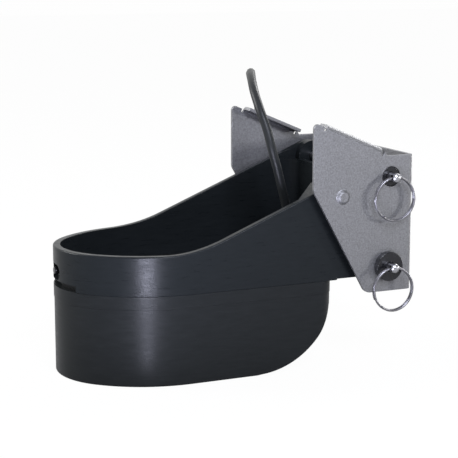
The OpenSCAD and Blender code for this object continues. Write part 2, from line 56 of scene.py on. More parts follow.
# Neighbouring triangles that turn by less than this are one flat face.
FLAT_RAD = math.radians(0.35)
# Edges that turn by more than this are rounded or left as a crease.
SHARP_RAD = math.radians(38)
# Corners that a rounding throws further from the solid than this share of its radius have strayed.
STRAY = 0.6
# A streak in a combed surface is this many times as long as it is high.
STREAK = 7.0
# Most values of a noise texture lie between these two.
NOISE_LOW, NOISE_HIGH = 0.3, 0.7
# A wave texture's bands repeat every 2 pi over twenty units.
WAVE_BAND = math.tau / 20
# Sides of a round form that stands free.
ROUND_SIDES = 64


def linear(hex_colour: str) -> tuple[float, float, float, float]:
    """Turns an sRGB hex colour to linear values.

    Args:
        hex_colour: Colour as #rrggbb.

    Returns:
        Red, green, blue and an alpha of one.
    """
    parts = [int(hex_colour[i : i + 2], 16) / 255 for i in (1, 3, 5)]
    return (*[p / 12.92 if p <= 0.04045 else ((p + 0.055) / 1.055) ** 2.4 for p in parts], 1.0)


def add_node(
    tree: bpy.types.NodeTree, kind: str, inputs: dict[str | int, object] | None = None, **settings: object
) -> bpy.types.Node:
    """Adds a node with its settings and links.

    Args:
        tree: Shader or geometry tree.
        kind: The node's type.
        inputs: A value, or another node's output, for each named or numbered input.
        **settings: Attributes of the node.

    Returns:
        The new node.
    """
    node = tree.nodes.new(kind)
    for name, value in settings.items():
        setattr(node, name, value)
    for name, value in (inputs or {}).items():
        if isinstance(value, bpy.types.NodeSocket):
            tree.links.new(value, node.inputs[name])
        else:
            node.inputs[name].default_value = value
    return node


class Grain(Enum):
    """How a surface was made, which decides the relief on it."""

    COMBED = "fine level streaks, drawn round the body"
    SPARKED = "fine random texture of an eroded mould"
    CAST = "soft waves of a poured skin"
    BLASTED = "dense small pits of glass beads"
    TURNED = "fine rings left by a lathe, round the Y axis"
    CRUMBED = "pressed crumbs"
    WOVEN = "crossing threads"


# Octaves in the relief of the grains that noise draws.
NOISE_DETAIL = {Grain.COMBED: 2.5, Grain.SPARKED: 3.0, Grain.CAST: 1.5, Grain.BLASTED: 2.0}


@dataclass(frozen=True)
class Finish:
    """A material: its two colours, the size of their patches, its gloss and the relief on it."""

    name: str
    base: str
    patch: str
    rough: float
    grain: Grain
    grain_mm: float
    depth_mm: float
    patch_mm: float = 24.0
    rough_spread: float = 0.05
    metallic: float = 0.0
    ior: float = 1.5
    specular: float = 0.5

    def relief(self, tree: bpy.types.NodeTree, place: bpy.types.NodeSocket) -> bpy.types.NodeSocket:
        """Draws the surface's height.

        Args:
            tree: The material's tree.
            place: Object coordinates, stretched where the surface is combed.

        Returns:
            Height from about 0 to 1.
        """
        per_m = 1 / (self.grain_mm * MM)
        if self.grain is Grain.CRUMBED:
            cells = add_node(tree, "ShaderNodeTexVoronoi", {"Vector": place, "Scale": per_m}, feature="F1")
            return cells.outputs["Distance"]
        bands = {"Vector": place, "Scale": per_m * WAVE_BAND}
        if self.grain is Grain.TURNED:
            rings = add_node(
                tree, "ShaderNodeTexWave", {**bands, "Distortion": 0.6, "Detail": 2.0}, bands_direction="Y"
            )
            return rings.outputs["Fac"]
        if self.grain is Grain.WOVEN:
            warp, weft = (
                add_node(tree, "ShaderNodeTexWave", bands, bands_direction=way).outputs["Fac"]
                for way in ("DIAGONAL", "Z")
            )
            return add_node(tree, "ShaderNodeMath", {0: warp, 1: weft}, operation="MAXIMUM").outputs[0]
        noise = add_node(
            tree,
            "ShaderNodeTexNoise",
            {"Vector": place, "Scale": per_m, "Detail": NOISE_DETAIL[self.grain]},
        )
        return noise.outputs["Fac"]

    def make(self) -> bpy.types.Material:
        """Builds the material with its patches of colour and gloss and its relief."""
        material = bpy.data.materials.new(self.name)
        material.use_nodes = True
        tree = material.node_tree
        tree.nodes.clear()
        place = add_node(tree, "ShaderNodeTexCoord").outputs["Object"]
        if self.grain is Grain.COMBED:
            stretch = (1 / STREAK, 1 / STREAK, 1.0)
            place = add_node(
                tree, "ShaderNodeVectorMath", {0: place, 1: stretch}, operation="MULTIPLY"
            ).outputs[0]
        patches = add_node(
            tree,
            "ShaderNodeTexNoise",
            {"Vector": place, "Scale": 1 / (self.patch_mm * MM), "Detail": 4.0, "Roughness": 0.6},
        ).outputs["Fac"]
        colour = add_node(
            tree,
            "ShaderNodeMix",
            {0: patches, 6: linear(self.base), 7: linear(self.patch)},
            data_type="RGBA",
        ).outputs[2]
        gloss = add_node(
            tree,
            "ShaderNodeMapRange",
            {
                "Value": patches,
                "From Min": NOISE_LOW,
                "From Max": NOISE_HIGH,
                "To Min": self.rough - self.rough_spread,
                "To Max": self.rough + self.rough_spread,
            },
        ).outputs[0]
        bump = add_node(
            tree, "ShaderNodeBump", {"Height": self.relief(tree, place), "Distance": self.depth_mm * MM}
        ).outputs[0]
        shader = add_node(
            tree,
            "ShaderNodeBsdfPrincipled",
            {
                "Base Color": colour,
                "Roughness": gloss,
                "Normal": bump,
                "Metallic": self.metallic,
                "IOR": self.ior,
                "Specular IOR Level": self.specular,
            },
        )
        add_node(tree, "ShaderNodeOutputMaterial", {"Surface": shader.outputs[0]})
        return material


# The marks that a mould, glass beads or a lathe leave are finer than a render shows, so all of these
# finishes draw them coarser than they are.

# Glass-filled ABS: charcoal and satin, with fine level streaks that break up one upright highlight.
HOUSING_ABS = Finish(
    "housing_abs_moulded", "#131618", "#1b1e20", 0.31, Grain.COMBED, 1.0, 0.06, patch_mm=1.7, specular=0.13
)
# Cast urethane: a little greyer and duller than the housing, with coarser level streaks.
BLOCK_URETHANE = Finish(
    "block_urethane_cast", "#17191a", "#202223", 0.34, Grain.COMBED, 1.4, 0.05, patch_mm=2.1, specular=0.11
)
# Urethane poured in place: dark, with slow waves where it settled.
POTTING_URETHANE = Finish(
    "potting_urethane_poured", "#0e0f12", "#121316", 0.35, Grain.CAST, 14.0, 0.15, specular=0.3
)
# Stainless sheet blasted with glass beads: mid grey, matt and speckled. Its pits are drawn about a
# millimetre wide, coarser than they are, to show.
BRACKET_STEEL = Finish(
    "bracket_stainless_blasted",
    "#535455",
    "#a4a4a7",
    0.56,
    Grain.BLASTED,
    0.9,
    0.06,
    patch_mm=1.1,
    metallic=1.0,
)
# Stainless bar from a lathe: bright, with fine rings.
PIN_STEEL = Finish(
    "pin_stainless_turned", "#a9a9ad", "#b6b6b9", 0.3, Grain.TURNED, 0.5, 0.001, patch_mm=5.0, metallic=1.0
)
# Drawn spring wire: darker than the pins and almost smooth, with soft bright lines along it.
RING_STEEL = Finish(
    "ring_spring_wire_drawn",
    "#7b7a7e",
    "#88878b",
    0.36,
    Grain.BLASTED,
    2.0,
    0.001,
    patch_mm=4.0,
    metallic=1.0,
)
# Acetal bar from a lathe: black and waxy.
BUSH_ACETAL = Finish(
    "bush_acetal_turned", "#111114", "#151518", 0.27, Grain.TURNED, 0.5, 0.004, patch_mm=6.0, ior=1.48
)
# PVC jacket from an extruder: near black and smooth, with a thin pale line where light runs along it.
CABLE_PVC = Finish(
    "cable_pvc_extruded", "#1b1d1e", "#202223", 0.4, Grain.SPARKED, 1.2, 0.012, patch_mm=12.0, specular=0.24
)
# Moulded nitrile rubber: near black and matt.
GLAND_RUBBER = Finish(
    "gland_nitrile_moulded", "#161618", "#1c1c1e", 0.6, Grain.SPARKED, 0.8, 0.02, patch_mm=6.0
)
# Nylon webbing: black and dull, with a fine weave.
STRAP_NYLON = Finish("strap_nylon_woven", "#0d0d0e", "#151517", 0.7, Grain.WOVEN, 1.1, 0.15, patch_mm=5.0)
# Moulded glass-filled nylon: near black and satin.
PLUG_NYLON = Finish(
    "plug_nylon_moulded", "#18181a", "#1f1f21", 0.4, Grain.SPARKED, 0.7, 0.012, patch_mm=8.0
)
# Brass with a thin gold wash: warm yellow and bright.
CONTACT_BRASS = Finish(
    "contact_brass_gilt", "#b8923a", "#c9a24a", 0.22, Grain.TURNED, 0.3, 0.002, patch_mm=2.0, metallic=1.0
)
# Cast epoxy: black and glossy.
SENSOR_EPOXY = Finish("sensor_epoxy_cast", "#141416", "#1a1a1c", 0.22, Grain.CAST, 3.0, 0.01, patch_mm=3.0)
# Cork and rubber crumbs pressed to a block: brown, rough and speckled.
CORK_RUBBER = Finish(
    "cork_rubber_pressed", "#5a4330", "#7a5d40", 0.85, Grain.CRUMBED, 2.2, 0.25, patch_mm=4.0
)
# Fired lead zirconate: cream and eggshell.
PIEZO_CERAMIC = Finish(
    "piezo_ceramic_fired", "#d2c8b0", "#ddd4bf", 0.5, Grain.SPARKED, 0.6, 0.01, patch_mm=7.0
)
# Glass-epoxy laminate under solder resist: deep green and satin.
BOARD_LAMINATE = Finish(
    "board_laminate_resist", "#1f4a30", "#28563a", 0.35, Grain.SPARKED, 1.0, 0.01, patch_mm=9.0
)


@dataclass(frozen=True)
class Round:
    """One pass of edge rounding: its radius, its steps and the edges that it takes."""

    radius_mm: float
    steps: int
    takes: Callable[[bmesh.types.BMEdge], bool]


def any_edge(edge: bmesh.types.BMEdge) -> bool:
    """Takes every sharp edge."""
    return edge.is_valid


def middle(edge: bmesh.types.BMEdge) -> Vector:
    """Gives the point half way along an edge."""
    return (edge.verts[0].co + edge.verts[1].co) / 2


def show(
    mesh: bpy.types.Mesh, name: str, finish: Finish, materials: dict[str, bpy.types.Material]
) -> bpy.types.Object:
    """Makes an object of a mesh and gives it its finish.

    Args:
        mesh: A finished mesh in the part's frame.
        name: The piece's name.
        finish: What it is made of.
        materials: Materials that exist already, by name.

    Returns:
        The new object.
    """
    piece = bpy.data.objects.new(name, mesh)
    bpy.context.scene.collection.objects.link(piece)
    dress(piece, finish, materials)
    return piece


def dress(piece: bpy.types.Object, finish: Finish, materials: dict[str, bpy.types.Material]) -> None:
    """Gives an object one finish all over.

    Args:
        piece: The object.
        finish: What it is made of.
        materials: Materials that exist already, by name; a new one is added.
    """
    if finish.name not in materials:
        materials[finish.name] = finish.make()
    piece.data.materials.clear()
    piece.data.materials.append(materials[finish.name])


def creased(form: bmesh.types.BMesh, name: str) -> bpy.types.Mesh:
    """Writes a form to a mesh that is smooth apart from its sharp edges.

    Args:
        form: The form; it is freed.
        name: The mesh's name.

    Returns:
        The mesh.
    """
    for face in form.faces:
        face.smooth = True
    for edge in form.edges:
        edge.smooth = not (edge.is_manifold and edge.calc_face_angle(0.0) > SHARP_RAD)
    mesh = bpy.data.meshes.new(name)
    form.to_mesh(mesh)
    form.free()
    return mesh


def rounded_copy(
    node: str,
    name: str,
    rounds: Sequence[Round],
    cut_mm: float | None = None,
    level_mm: float | None = None,
) -> bpy.types.Mesh:
    """Copies a solid, joins its triangles into whole faces and rounds its edges.

    Args:
        node: The solid's name.
        name: The new mesh's name.
        rounds: Passes of rounding, in order.
        cut_mm: Station along X where long faces are parted, so that a rounding can end there.
        level_mm: Steps on the underside that are lower than this are closed.

    Returns:
        The rounded mesh.
    """
    form = bmesh.new()
    form.from_mesh(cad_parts[node].data)
    bmesh.ops.remove_doubles(form, verts=form.verts, dist=MERGE_M)
    bmesh.ops.dissolve_limit(form, angle_limit=FLAT_RAD, verts=form.verts, edges=form.edges)
    if level_mm is not None:
        under = [v for v in form.verts if v.co.z < level_mm * MM]
        bmesh.ops.remove_doubles(form, verts=under, dist=level_mm * MM)
    if cut_mm is not None:
        everything = [*form.verts, *form.edges, *form.faces]
        bmesh.ops.bisect_plane(form, geom=everything, plane_co=(cut_mm * MM, 0, 0), plane_no=(1, 0, 0))
    skin = BVHTree.FromBMesh(form)
    for step in rounds:
        edges = [
            e for e in form.edges if e.is_manifold and e.calc_face_angle(0.0) > SHARP_RAD and step.takes(e)
        ]
        bmesh.ops.bevel(
            form,
            geom=edges,
            offset=step.radius_mm * MM,
            offset_type="OFFSET",
            segments=step.steps,
            profile=0.5,
            affect="EDGES",
            clamp_overlap=False,
            loop_slide=False,
        )
    # A rounding that meets very short edges can shoot past the solid, so such corners go back to its skin.
    reach = max(step.radius_mm for step in rounds) * MM
    for corner in form.verts:
        spot, _, _, away = skin.find_nearest(corner.co)
        if away > STRAY * reach:
            corner.co = spot
    return creased(form, name)


def weigh_normals(piece: bpy.types.Object) -> None:
    """Lets the large faces keep their flat look beside small roundings."""
    weights = piece.modifiers.new("weighted_normals", "WEIGHTED_NORMAL")
    weights.keep_sharp = True


@dataclass
class Piece:
    """A new piece that stands for solids of one body."""

    name: str
    body: str
    slot: str
    finish: Finish
    nodes: tuple[str, ...]

    def settle(self, mesh: bpy.types.Mesh, materials: dict[str, bpy.types.Material]) -> bpy.types.Object:
        """Makes the piece from its mesh, ties it to its body and hides the solids it stands for.

        Args:
            mesh: The finished mesh.
            materials: Materials by name.

        Returns:
            The piece.
        """
        piece = show(mesh, self.name, self.finish, materials)
        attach(piece, self.body)
        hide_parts(*self.nodes)
        LOG.info("%s: %d faces", self.name, len(mesh.polygons))
        return piece


@dataclass
class Body:
    """The hinged body: housing, acoustic block and what is cast into it."""

    rim_radius_mm: float = 1.1
    inner_radius_mm: float = 0.5
    seam_radius_mm: float = 0.5
    foot_radius_mm: float = 1.2
    band_radius_mm: float = 0.25
    rim_low_mm: float = 84.0
    rim_end_mm: float = 78.0
    stern_end_mm: float = -45.0
    seam_mm: float = 61.6
    band_foot_mm: float = 52.6
    window_step_mm: float = 0.4
    # Edges this near to a level lie on it.
    level_slack_mm: float = 0.1
    # The foot's edges end this far below the band.
    foot_gap_mm: float = 1.0
    # A wall's normal has less of Z than the first; the rim's top and the foot have more than the second.
    wall_tilt: float = 0.2
    top_tilt: float = 0.3
    inner: dict[str, Finish] = field(
        default_factory=lambda: {
            "isolation_block": CORK_RUBBER,
            "backing_pads": CORK_RUBBER,
            "low_frequency_ceramics": PIEZO_CERAMIC,
            "high_frequency_ceramic": PIEZO_CERAMIC,
            "terminal_board": BOARD_LAMINATE,
            "potting_fill": POTTING_URETHANE,
            "temperature_sensor": SENSOR_EPOXY,
        }
    )

    def on_rim(self, edge: bmesh.types.BMEdge) -> bool:
        """Tells whether an edge runs along the housing's rim."""
        tilts = sorted(abs(f.normal.z) for f in edge.link_faces)
        spot = middle(edge) / MM
        at_corner = tilts[0] < self.wall_tilt and tilts[1] > self.top_tilt
        return at_corner and spot.z > self.rim_low_mm and spot.x < self.rim_end_mm

    def on_outer_rim(self, edge: bmesh.types.BMEdge) -> bool:
        """Tells whether an edge runs along the outer side of the rim."""
        spot = middle(edge)
        out = spot - Vector((max(spot.x, self.stern_end_mm * MM), 0, spot.z))
        wall = min(edge.link_faces, key=lambda f: abs(f.normal.z))
        return self.on_rim(edge) and wall.normal.dot(out) > 0

    def on_inner_rim(self, edge: bmesh.types.BMEdge) -> bool:
        """Tells whether an edge runs along the cup's side of the rim."""
        return self.on_rim(edge) and not self.on_outer_rim(edge)

    def on_seam(self, edge: bmesh.types.BMEdge) -> bool:
        """Tells whether an edge is the housing's lower outer edge."""
        return abs(middle(edge).z - self.seam_mm * MM) < self.level_slack_mm * MM and edge.is_convex

    def on_band(self, edge: bmesh.types.BMEdge) -> bool:
        """Tells whether an edge is the lower edge of the block's raised band."""
        return abs(middle(edge).z - self.band_foot_mm * MM) < self.level_slack_mm * MM and edge.is_convex

    def on_foot(self, edge: bmesh.types.BMEdge) -> bool:
        """Tells whether an edge bounds the acoustic window or the nose from below."""
        low = min(f.normal.z for f in edge.link_faces)
        below = middle(edge).z < (self.band_foot_mm - self.foot_gap_mm) * MM
        return edge.is_convex and low < -self.top_tilt and below

    def build(self, materials: dict[str, bpy.types.Material]) -> None:
        """Makes the housing and the block, and dresses the pieces inside."""
        housing = Piece("housing_moulding", "transducer", "housing_plastic", HOUSING_ABS, ("housing",))
        passes = [
            Round(self.rim_radius_mm, 4, self.on_outer_rim),
            Round(self.inner_radius_mm, 3, self.on_inner_rim),
            Round(self.seam_radius_mm, 2, self.on_seam),
        ]
        shape = rounded_copy("housing", housing.name, passes, self.rim_end_mm)
        weigh_normals(housing.settle(shape, materials))
        block = Piece(
            "acoustic_block_casting", "transducer", "urethane", BLOCK_URETHANE, ("acoustic_shell",)
        )
        passes = [Round(self.foot_radius_mm, 5, self.on_foot), Round(self.band_radius_mm, 2, self.on_band)]
        shape = rounded_copy("acoustic_shell", block.name, passes, level_mm=self.window_step_mm)
        weigh_normals(block.settle(shape, materials))
        for node, finish in self.inner.items():
            dress(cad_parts[node], finish, materials)


@dataclass
class Bracket:
    """The folded bracket with its pins and bushes."""

    sheet_radius_mm: float = 0.35
    pin_radius_mm: float = 0.25
    bush_radius_mm: float = 0.6

    def build(self, materials: dict[str, bpy.types.Material]) -> None:
        """Makes the pressing, the pins and the bushes."""
        sheet = Piece("bracket_pressing", "bracket", "bracket_steel", BRACKET_STEEL, ("bracket",))
        passes = [Round(self.sheet_radius_mm, 2, any_edge)]
        weigh_normals(sheet.settle(rounded_copy("bracket", sheet.name, passes), materials))
        for node in ("hinge_pin", "latch_pin"):
            pin = Piece(f"{node}_turned", "bracket", "pin_steel", PIN_STEEL, (node,))
            passes = [Round(self.pin_radius_mm, 2, any_edge)]
            weigh_normals(pin.settle(rounded_copy(node, pin.name, passes), materials))
        for side in ("port", "starboard"):
            for place in ("hinge", "latch"):
                node = f"{place}_bush_{side}"
                bush = Piece(f"{node}_turned", "bracket", "bush_acetal", BUSH_ACETAL, (node,))
                passes = [Round(self.bush_radius_mm, 3, any_edge)]
                weigh_normals(bush.settle(rounded_copy(node, bush.name, passes), materials))


def grown(tree: bpy.types.NodeTree, values: dict[str, object], name: str) -> bpy.types.Mesh:
    """Evaluates a geometry tree once and keeps the result as a plain mesh.

    Args:
        tree: The tree.
        values: A value for each named input.
        name: The mesh's name.

    Returns:
        The mesh.
    """
    holder = bpy.data.objects.new(name, bpy.data.meshes.new(f"{name}_seed"))
    bpy.context.scene.collection.objects.link(holder)
    modifier = holder.modifiers.new(tree.name, "NODES")
    modifier.node_group = tree
    for item in tree.interface.items_tree:
        if item.in_out == "INPUT" and item.name in values:
            modifier[item.identifier] = values[item.name]
    graph = bpy.context.evaluated_depsgraph_get()
    mesh = bpy.data.meshes.new_from_object(holder.evaluated_get(graph))
    holder.modifiers.remove(modifier)
    bpy.data.objects.remove(holder)
    mesh.name = name
    return mesh


def new_tree(name: str, sizes: Iterable[str]) -> tuple[bpy.types.NodeTree, dict[str, bpy.types.NodeSocket]]:
    """Starts a geometry tree with a number for each size, a place and a material.

    Args:
        name: The tree's name.
        sizes: Names of its sizes.

    Returns:
        The tree, and its inputs by name.
    """
    tree = bpy.data.node_groups.new(name, "GeometryNodeTree")
    for size in sizes:
        tree.interface.new_socket(size, in_out="INPUT", socket_type="NodeSocketFloat")
    tree.interface.new_socket("Place", in_out="INPUT", socket_type="NodeSocketVector")
    tree.interface.new_socket("Material", in_out="INPUT", socket_type="NodeSocketMaterial")
    tree.interface.new_socket("Geometry", in_out="OUTPUT", socket_type="NodeSocketGeometry")
    outputs = add_node(tree, "NodeGroupInput").outputs
    return tree, {o.name: o for o in outputs if o.name}


@dataclass
class SplitRings:
    """The four split rings, each a wire wound in nearly two turns."""

    wire_mm: float = 1.6
    outside_mm: float = 31.5
    turns: float = 1.93
    steps_a_turn: int = 72
    sides: int = 14
    first_turn_deg: float = 205.0

    def tree(self) -> bpy.types.NodeTree:
        """Builds the tree that winds the wire."""
        tree, given = new_tree("split_ring_wire", ("Ring radius", "Wire radius", "Pitch"))
        height = add_node(
            tree, "ShaderNodeMath", {0: given["Pitch"], 1: self.turns}, operation="MULTIPLY"
        ).outputs[0]
        wire = add_node(
            tree,
            "GeometryNodeCurveSpiral",
            {
                "Resolution": self.steps_a_turn,
                "Rotations": self.turns,
                "Start Radius": given["Ring radius"],
                "End Radius": given["Ring radius"],
                "Height": height,
            },
        ).outputs[0]
        down = add_node(tree, "ShaderNodeMath", {0: height, 1: -0.5}, operation="MULTIPLY").outputs[0]
        lift = add_node(tree, "ShaderNodeCombineXYZ", {"Z": down}).outputs[0]
        centred = add_node(
            tree,
            "GeometryNodeTransform",
            {
                "Geometry": wire,
                "Translation": lift,
                "Rotation": (0.0, 0.0, math.radians(self.first_turn_deg)),
            },
        ).outputs[0]
        section = add_node(
            tree,
            "GeometryNodeCurvePrimitiveCircle",
            {"Resolution": self.sides, "Radius": given["Wire radius"]},
        ).outputs[0]
        tube = add_node(
            tree, "GeometryNodeCurveToMesh", {"Curve": centred, "Profile Curve": section, "Fill Caps": True}
        ).outputs[0]
        placed = add_node(
            tree,
            "GeometryNodeTransform",
            {"Geometry": tube, "Translation": given["Place"], "Rotation": (math.radians(90), 0.0, 0.0)},
        ).outputs[0]
        smooth = add_node(tree, "GeometryNodeSetShadeSmooth", {"Geometry": placed}).outputs[0]
        real = add_node(tree, "GeometryNodeRealizeInstances", {"Geometry": smooth}).outputs[0]
        coated = add_node(
            tree, "GeometryNodeSetMaterial", {"Geometry": real, "Material": given["Material"]}
        ).outputs[0]
        add_node(tree, "NodeGroupOutput", {"Geometry": coated})
        return tree

    def build(self, materials: dict[str, bpy.types.Material]) -> None:
        """Winds each ring in the middle of its solid."""
        tree = self.tree()
        materials[RING_STEEL.name] = RING_STEEL.make()
        for place in ("hinge", "latch"):
            for side in ("port", "starboard"):
                node = f"{place}_ring_{side}"
                low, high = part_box(node)
                values = {
                    "Ring radius": (self.outside_mm - self.wire_mm) / 2 * MM,
                    "Wire radius": self.wire_mm / 2 * MM,
                    "Pitch": (high.y - low.y) - self.wire_mm * MM,
                    "Place": (low + high) / 2,
                    "Material": materials[RING_STEEL.name],
                }
                ring = Piece(f"{node}_wire", node, "ring_steel", RING_STEEL, (node,))
                ring.settle(grown(tree, values, ring.name), materials)


@dataclass
class Cable:
    """The signal cable with its gland, coil, straps and plug. Route points are in millimetres."""

    diameter_mm: float = 6.5
    gland_mm: tuple[float, float] = (50.0, -10.0)
    free_route: tuple[tuple[float, float, float], ...] = (
        (50, -10, 98), (49, -10, 107), (46, -10, 119), (42, -10, 134), (38, -9, 149), (36, -5, 162),
        (34, 2, 175), (35, 14, 187), (40, 29, 194), (46, 44, 197), (53, 58, 197), (62, 76, 192),
        (71, 91, 182), (80, 103, 168), (87, 113, 150), (91, 120, 132), (91, 124, 114), (91, 125, 97),
        (91, 125, 83), (91, 125.3, 70), (91, 127, 59), (91.2, 132, 49), (91.6, 140, 41.2),
        (92.3, 149.5, 36.6), (93.7, 160, 33.7), (94.3, 172.5, 31.8), (91.4, 185.6, 30.9),
    )
    tail_route: tuple[tuple[float, float, float], ...] = (
        (5.7, 212.4, 31.3), (-2.7, 203.7, 32.8), (-9.1, 193.4, 34.9), (-13.3, 182, 37.3),
        (-14.8, 171, 39.6), (-14.4, 160, 41.7), (-13, 150, 43.5), (-10.8, 139.8, 45.1), (-6, 130.5, 46.4),
        (1.3, 122.8, 47.4), (10.5, 117.8, 47.9), (21, 116, 48), (30, 116, 48), (36, 116, 48),
    )
    coil_mm: tuple[float, float] = (43.0, 168.0)
    coil_across_mm: float = 116.0
    layers: int = 5
    strap_mm: float = 1.5
    # Column and layer of each turn in order, so that the cable comes in and leaves on top.
    lay: tuple[tuple[int, int], ...] = (
        (1, 4), (0, 4), (0, 3), (0, 2), (0, 1), (0, 0), (1, 0), (1, 1), (1, 2), (1, 3), (2, 3), (2, 2),
        (2, 1), (2, 0), (3, 0), (4, 0), (4, 1), (3, 1), (3, 2), (4, 2), (4, 3), (3, 3), (3, 4), (2, 4),
    )
    enters_deg: float = 35.0
    leaves_deg: float = 118.0
    step_deg: float = 12.0
    shift_from_deg: float = 200.0
    shift_over_deg: float = 60.0
    smooth_steps: int = 4
    section_steps: int = 3
    strap_radius_mm: float = 0.5
    plug_radius_mm: float = 0.3
    # Points of the coil that the free stretch and the tail are smoothed with.
    joint_knots: int = 3
    # The cable starts this far below the gland's top.
    sunk_mm: float = 6.0
    flange_mm: float = 4.0
    # How much wider than the cable the gland's sleeve is at its foot and at its top.
    sleeve_foot_mm: float = 5.0
    sleeve_top_mm: float = 1.5
    rib_count: int = 7
    # Plain stretch below the first rib, in steps from rib to rib.
    rib_start: float = 0.7
    # Radius of a rib's bead as a share of the sleeve's radius.
    rib_bead: float = 0.13
    bead_sides: int = 10

    def turn(self, angle_deg: float) -> Vector:
        """Gives the cable's place in the coil.

        Args:
            angle_deg: Angle wound since the coil's own zero, over all turns.

        Returns:
            The point, in millimetres.
        """
        wound = (angle_deg - self.shift_from_deg) / 360
        number = max(0, math.floor(wound) + 1)
        share = 1.0
        if wound >= 0:
            share = min(1.0, (wound - math.floor(wound)) * 360 / self.shift_over_deg)
        ease = share * share * (3 - 2 * share)
        here = Vector(self.lay[min(number, len(self.lay) - 1)])
        before = Vector(self.lay[max(number - 1, 0)])
        column, layer = before.lerp(here, ease)
        radius = self.coil_across_mm / 2 + (column - (self.layers - 1) / 2) * self.diameter_mm
        height = self.strap_mm + (layer + 0.5) * self.diameter_mm
        angle = math.radians(angle_deg)
        return Vector(
            (self.coil_mm[0] + radius * math.cos(angle), self.coil_mm[1] + radius * math.sin(angle), height)
        )

    def route(self) -> list[Vector]:
        """Joins the free stretch, the coil and the tail in one smooth line, in metres."""
        _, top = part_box("cable_gland")
        start = Vector((*self.gland_mm, top.z / MM))
        knots = [start - Vector((0, 0, self.sunk_mm)), start, *map(Vector, self.free_route)]
        last = self.leaves_deg + 360 * (len(self.lay) - 1)
        wound = last - self.enters_deg
        count = round(wound / self.step_deg)
        coil = [self.turn(self.enters_deg + wound * i / count) for i in range(count + 1)]
        shared = (self.joint_knots - 1) * self.smooth_steps
        free = self.smoothed([*knots, *coil[: self.joint_knots]])[:-shared]
        tail = self.smoothed([*coil[-self.joint_knots :], *map(Vector, self.tail_route)])[shared:]
        return [p * MM for p in [*free[:-1], *coil[:-1], *tail]]

    def smoothed(self, knots: Sequence[Vector]) -> list[Vector]:
        """Runs a Catmull-Rom line through points.

        Args:
            knots: The points.

        Returns:
            The points, with the line's own points between them.
        """
        line = []
        for i in range(len(knots) - 1):
            before, a = knots[max(i - 1, 0)], knots[i]
            b, after = knots[i + 1], knots[min(i + 2, len(knots) - 1)]
            for k in range(self.smooth_steps):
                t = k / self.smooth_steps
                line.append(
                    0.5
                    * (
                        2 * a
                        + (b - before) * t
                        + (2 * before - 5 * a + 4 * b - after) * t**2
                        + (3 * a - before - 3 * b + after) * t**3
                    )
                )
        return [*line, knots[-1]]

    def cord(self, materials: dict[str, bpy.types.Material]) -> None:
        """Args:
            materials: Materials by name.
        """
        points = self.route()
        curve = bpy.data.curves.new("signal_cable", "CURVE")
        curve.dimensions = "3D"
        curve.bevel_depth = self.diameter_mm / 2 * MM
        curve.bevel_resolution = self.section_steps
        curve.use_fill_caps = True
        spline = curve.splines.new("POLY")
        spline.points.add(len(points) - 1)
        for knot, p in zip(spline.points, points, strict=True):
            knot.co = (*p, 1.0)
        spline.use_smooth = True
        cable = bpy.data.objects.new("signal_cable", curve)
        bpy.context.scene.collection.objects.link(cable)
        dress(cable, CABLE_PVC, materials)
        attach(cable, "transducer")
        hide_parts("cable", "cable_coil", "cable_tail")

    def gland_tree(self) -> bpy.types.NodeTree:
        """Builds the tree of the gland: a flange, a tapering sleeve and ribs that repeat up the sleeve."""
        sizes = ("Flange radius", "Flange height", "Foot radius", "Top radius", "Height")
        tree, given = new_tree("ribbed_bend_relief", sizes)
        flange = add_node(
            tree,
            "GeometryNodeMeshCylinder",
            {"Vertices": ROUND_SIDES, "Radius": given["Flange radius"], "Depth": given["Flange height"]},
        ).outputs[0]
        half = add_node(
            tree, "ShaderNodeMath", {0: given["Flange height"], 1: 0.5}, operation="MULTIPLY"
        ).outputs[0]
        seat = add_node(tree, "ShaderNodeCombineXYZ", {"Z": half}).outputs[0]
        flange = add_node(
            tree, "GeometryNodeTransform", {"Geometry": flange, "Translation": seat}
        ).outputs[0]
        sleeve = add_node(
            tree,
            "GeometryNodeMeshCone",
            {
                "Vertices": ROUND_SIDES,
                "Radius Top": given["Top radius"],
                "Radius Bottom": given["Foot radius"],
                "Depth": given["Height"],
            },
        ).outputs[0]
        foot = add_node(tree, "ShaderNodeCombineXYZ", {"Z": given["Flange height"]}).outputs[0]
        sleeve = add_node(
            tree, "GeometryNodeTransform", {"Geometry": sleeve, "Translation": foot}
        ).outputs[0]
        # Each rib is a flat ring of radius one, scaled to the sleeve at its own height.
        number = add_node(tree, "GeometryNodeInputIndex").outputs[0]
        steps = add_node(tree, "ShaderNodeMath", {0: number, 1: self.rib_start}, operation="ADD").outputs[0]
        share = add_node(
            tree, "ShaderNodeMath", {0: steps, 1: self.rib_count + self.rib_start}, operation="DIVIDE"
        ).outputs[0]
        up = add_node(
            tree,
            "ShaderNodeMath",
            {0: share, 1: given["Height"], 2: given["Flange height"]},
            operation="MULTIPLY_ADD",
        ).outputs[0]
        spot = add_node(tree, "ShaderNodeCombineXYZ", {"Z": up}).outputs[0]
        line = add_node(
            tree, "GeometryNodeMeshLine", {"Count": self.rib_count, "Offset": (0.0, 0.0, 0.0)}
        ).outputs[0]
        spots = add_node(tree, "GeometryNodeSetPosition", {"Geometry": line, "Position": spot}).outputs[0]
        across = add_node(
            tree,
            "ShaderNodeMapRange",
            {"Value": share, "To Min": given["Foot radius"], "To Max": given["Top radius"]},
        ).outputs[0]
        hoop, bead = (
            add_node(
                tree, "GeometryNodeCurvePrimitiveCircle", {"Resolution": sides, "Radius": radius}
            ).outputs[0]
            for sides, radius in ((ROUND_SIDES, 1.0), (self.bead_sides, self.rib_bead))
        )
        rib = add_node(tree, "GeometryNodeCurveToMesh", {"Curve": hoop, "Profile Curve": bead}).outputs[0]
        ribs = add_node(
            tree, "GeometryNodeInstanceOnPoints", {"Points": spots, "Instance": rib, "Scale": across}
        ).outputs[0]
        joined = add_node(tree, "GeometryNodeJoinGeometry")
